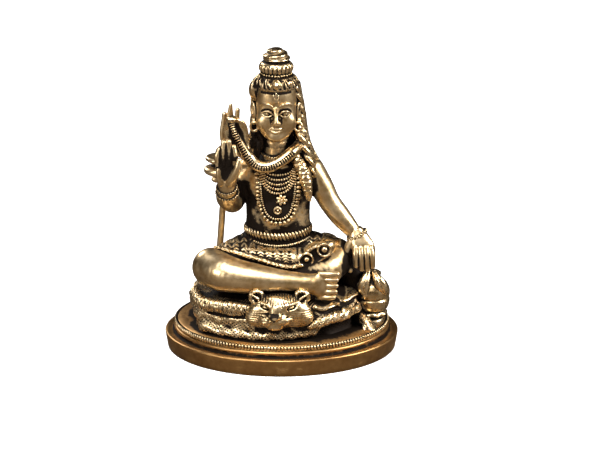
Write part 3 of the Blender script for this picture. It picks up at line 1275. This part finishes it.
def beads(name, points, ups, spacing, size, lean, closed):
    """A row of beads through points in units. ups point away from what carries them."""
    source = path_source(name + "_path", row_frame(np.array(points)), closed)
    held_ups = source.data.attributes.new("up", "FLOAT_VECTOR", "POINT")
    held_ups.data.foreach_set("vector", np.asarray(ups, np.float32).ravel())
    scale = UNIT * MM
    values = {"Spacing": spacing * scale, "Size": tuple(s * scale for s in size)}
    return grown(name, source, BEADS, {**values, "Lean": math.radians(lean)}, CARVED_BRASS)


def base():
    """The plate, the step with the seat of its bead rope, and the deck, from one section."""
    rim, step, top = BASE_WIDTH / 2, BASE_WIDTH / 2 - LEDGE_WIDTH, PLATE_HEIGHT
    chamfer, rounding = 0.3, 0.6
    section = [(0, 0), (rim - PLATE_FLARE - chamfer, 0), (rim - PLATE_FLARE, chamfer)]
    section += [
        (rim - PLATE_FLARE * (1 - t), chamfer + t * (top - chamfer - rounding))
        for t in (0.25, 0.5, 0.75, 0.96)
    ]
    section += [
        (rim - rounding * (1 - math.cos(a)), top - rounding + rounding * math.sin(a))
        for a in (0.3, 0.7, 1.1, 1.57)
    ]
    above_plate = [(1.9, 0), (1.2, -0.06), (0.7, -0.2), (0.2, 0.1), (0.15, 0.8), (0.45, 1.1)]
    above_plate += [(0.4, 1.6), (-0.1, 1.8), (-0.5, 2)]
    section += [(step + out, top + up) for out, up in above_plate]
    to_deck = [(-0.6, -0.5), (-0.8, -0.15), (-1.0, 0), (-6, 0), (-step, 0)]
    section += [(step + out, DECK_HEIGHT + up) for out, up in to_deck]
    points = [(r * MM, 0, z * MM) for r, z in section]
    values = {"Sides": 220, "Points": len(points), "Depth Share": BASE_DEPTH / BASE_WIDTH}
    made = grown("base", path_source("base_section", points), OVAL, values, PLATE_BRASS)
    mesh = made.data
    co = np.zeros(len(mesh.vertices) * 3, np.float32)
    mesh.vertices.foreach_get("co", co)
    placed = co.reshape(-1, 3) / (UNIT * MM)
    placed[:, 2] -= DECK_HEIGHT / UNIT
    near, wide = recess_at(placed, normals_of(mesh))
    set_attribute(mesh, "near", np.clip(near, -1, 1))
    x, y, z = placed.T
    shaded = kept((x - 8) / 5) * kept((29 - x) / 4) * (y < 0)
    wide = wide + (0.3 + 0.7 * shaded) * (z > -0.6)
    set_attribute(mesh, "wide", np.clip(wide, -1, 1))
    return made


def even_turn(count):
    """Cosines and sines of even steps round a whole turn."""
    angles = np.arange(count) * TURN / count
    return np.cos(angles), np.sin(angles)


def oval_path(radius, z):
    """Points in units round the base, with what faces outwards at each, from millimetres."""
    share = BASE_DEPTH / BASE_WIDTH
    x, y = even_turn(160)
    points = np.stack([radius * x, radius * share * y, np.full(len(x), z - DECK_HEIGHT)], 1)
    return points / UNIT, np.stack([x, y / share, np.zeros(len(x))], 1)


BVHS = {
    name: BVHTree.FromObject(SKINS[name], bpy.context.evaluated_depsgraph_get())
    for name in ("trunk", "cobra")
}


def laid(points, name, lift):
    """Points in units moved back along y onto a piece, with what faces out at each."""
    found, ups = [], []
    for x, y, z in points:
        start = Vector(row_frame([[x, -40, z]])[0])
        place, up = BVHS[name].ray_cast(start, Vector((0, 1, 0)))[:2]
        if place is None:
            at, up = np.array([x, y, z]), (0, -1, 0)
        else:
            at = np.array(place) / MM
            at[2] -= DECK_HEIGHT
            at = at / UNIT + np.array(up) * lift
        found.append(at)
        ups.append(tuple(up))
    return np.array(found), np.array(ups)


def bow(half_width, top, bottom, power):
    """A hanging bow across the chest, from one side of the neck to the other."""
    share = np.linspace(-1, 1, 48)
    x = BODY_X + half_width * np.sin(share * math.pi / 2)
    z = bottom + (top - bottom) * np.abs(share) ** power
    return np.stack([x, np.full(len(share), -6.0), z], 1)


def ring(middle, half_width, half_depth, turn=(0, 0, 0), count=60, sag=0.0):
    """A ring in units, with what faces outwards at each of its points."""
    x, y = even_turn(count)
    flat = np.stack([half_width * x, half_depth * y, -sag * kept(-y) ** 2], 1)
    m = turn_matrix(turn)
    return flat @ m.T + np.array(middle), np.stack([x, y, np.zeros(count)], 1) @ m.T


def waist_ring(z, half_width, half_depth, sag):
    return ring((BODY_X, 1.4, z), half_width, half_depth, count=90, sag=sag)


def garland(number, bottom):
    power = 1.8 if number else 2.6
    path = laid(bow(5.6 - 0.16 * number, 50.6 + 0.1 * number, bottom, power), "trunk", 0.22)
    return f"garland_{number}", path, 0.78, (0.36, 0.46, 0.42), 0, False


def bangle(name, middle, half_width, half_depth, turn, size=(0.5, 0.75, 0.6), lean=25):
    return name, ring(middle, half_width, half_depth, turn), 0.85, size, lean, True


# Each row of beads: its name, its points and ups, the spacing, a bead's half sizes, the lean in
# degrees and whether it closes on itself.
ROPE = oval_path(BASE_WIDTH / 2 - LEDGE_WIDTH - 0.25, DECK_HEIGHT - 0.75)
LONG_BOW = laid(bow(6.6, 50.4, 33.8, 2.6), "trunk", 0.3)
ROWS = [
    ("bead_rope", ROPE, 1.05, (0.5, 0.92, 0.74), 14, True),
    ("belt", waist_ring(29.8, 10.4, 7.7, 0.9), 1.15, (0.56, 1.6, 0.75), 24, True),
    ("belt_cord", waist_ring(27.7, 10.7, 8.5, 1.6), 0.75, (0.42, 0.5, 0.45), 0, True),
    ("long_garland", LONG_BOW, 1.35, (0.62, 0.95, 0.8), 0, False),
    *(garland(n, bottom) for n, bottom in enumerate((35.2, 43.6, 45, 46.4, 47.8, 49.2))),
    ("topknot_beads", ring((HEAD_X, -0.4, 81.7), 4.8, 4.8), 1.0, (0.42, 0.42, 0.42), 0, True),
    ("neck_ring", ring((HEAD_X, 0.3, 55.6), 4.7, 4.9, (12, 0, 0)), 0.9, (0.55, 0.5, 0.45), 30, True),
    bangle("raised_bangle", (-17.3, -8.9, 46.2), 3, 2.9, (32, 0, 0)),
    bangle("raised_bangle_low", (-17.2, -7.9, 44.4), 3.4, 3.2, (36, 0, 0), (0.5, 0.6, 0.5), -25),
    bangle("lowered_bangle", (24.2, -3.5, 28.9), 3.1, 2.9, (0, -26, 0)),
    ("cobra_plates", laid(cobra_line(6), "cobra", 0.12), 0.82, (0.25, 0.98, 0.36), 0, False),
]
GROWN = [base()]
GROWN += [beads(name, *path, *rest) for name, path, *rest in ROWS]

for made in [*SKINS.values(), *GROWN]:
    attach(made, "root")
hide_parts("shiva_figure")

# The floor, the light and the camera.


def white_floor():
    """A plain floor that glows a little, so that it is as white as the photo's."""
    material = bpy.data.materials.new("floor_white")
    material.use_nodes = True
    looks = {
        "Base Color": (0.8, 0.8, 0.8, 1), "Roughness": 0.9, "Specular IOR Level": 0.1,
        "Emission Color": (1, 1, 1, 1), "Emission Strength": 0.8,
    }
    for key, value in looks.items():
        material.node_tree.nodes["Principled BSDF"].inputs[key].default_value = value
    corners = [(-3, -3, 0), (3, -3, 0), (3, 3, 0), (-3, 3, 0)]
    made = mesh_object("floor", np.array(corners, float), [(0, 1, 2, 3)])
    made.data.materials.append(material)
    made.visible_glossy = False
    return made


white_floor()


def soft_light(name, place, size, power):
    data = bpy.data.lights.new(name, "AREA")
    data.shape, data.size, data.energy = "DISK", size, power
    lamp = bpy.data.objects.new(name, data)
    lamp.location = place
    aim = Vector((0, 0, 0.05)) - Vector(place)
    lamp.rotation_euler = aim.to_track_quat("-Z", "Y").to_euler()
    bpy.context.scene.collection.objects.link(lamp)


soft_light("key", (-0.12, -0.5, 0.86), 0.6, 12)
soft_light("left", (-0.7, -0.6, 0.3), 0.25, 3)
soft_light("right", (0.75, -0.2, 0.5), 0.4, 11)
soft_light("back", (-0.5, 0.6, 0.5), 0.3, 3)


def studio():
    """The room that the brass mirrors: dark overhead and behind, paler low down and in front."""
    world = bpy.data.worlds.new("studio")
    world.use_nodes = True
    b = Bench(world.node_tree)
    toward = b.node("ShaderNodeTexCoord").out("Generated")
    parts = b.node("ShaderNodeSeparateXYZ", {0: toward})
    stops = [
        (0.0, (0.2, 0.16, 0.12)), (0.4, (0.3, 0.25, 0.2)), (0.5, (0.14, 0.115, 0.09)),
        (0.62, (0.06, 0.05, 0.04)), (1.0, (0.04, 0.034, 0.03)),
    ]
    height = {"Fac": parts.out("Z") * 0.5 + 0.5}
    colour = b.node("ShaderNodeValToRGB", height, stops=stops).out("Color")
    front = 0.72 - parts.out("Y") * 0.5
    backdrop = world.node_tree.nodes["Background"]
    world.node_tree.links.new(colour.socket, backdrop.inputs["Color"])
    world.node_tree.links.new(front.socket, backdrop.inputs["Strength"])
    return world


bpy.context.scene.world = studio()
bpy.context.scene.view_settings.view_transform = "Standard"

# The camera looks down at the front. It is aimed at a place to the right of the origin and up in
# the picture, and DISTANCE is from AIM_HEIGHT over the floor. Only the picture's width there is in
# millimetres.
ELEVATION = math.radians(18)
DISTANCE = 1.1
AIM_RIGHT = 0.00584
AIM_UP = 0.0377
AIM_HEIGHT = 0.015
SENSOR_WIDTH = 36
PICTURE_WIDTH = 190.5
camera = bpy.data.objects.new("camera", bpy.data.cameras.new("camera"))
camera.data.sensor_width = SENSOR_WIDTH
camera.data.lens = SENSOR_WIDTH * DISTANCE / (PICTURE_WIDTH * MM)
back = Vector((0, -math.cos(ELEVATION), math.sin(ELEVATION)))
up = Vector((0, math.sin(ELEVATION), math.cos(ELEVATION)))
away = DISTANCE + AIM_HEIGHT * math.sin(ELEVATION)
camera.location = Vector((AIM_RIGHT, 0, 0)) + up * AIM_UP + back * away
camera.rotation_euler = (-back).to_track_quat("-Z", "Y").to_euler()
camera.data.clip_start, camera.data.clip_end = 0.01, 20
bpy.context.scene.collection.objects.link(camera)
bpy.context.scene.camera = camera
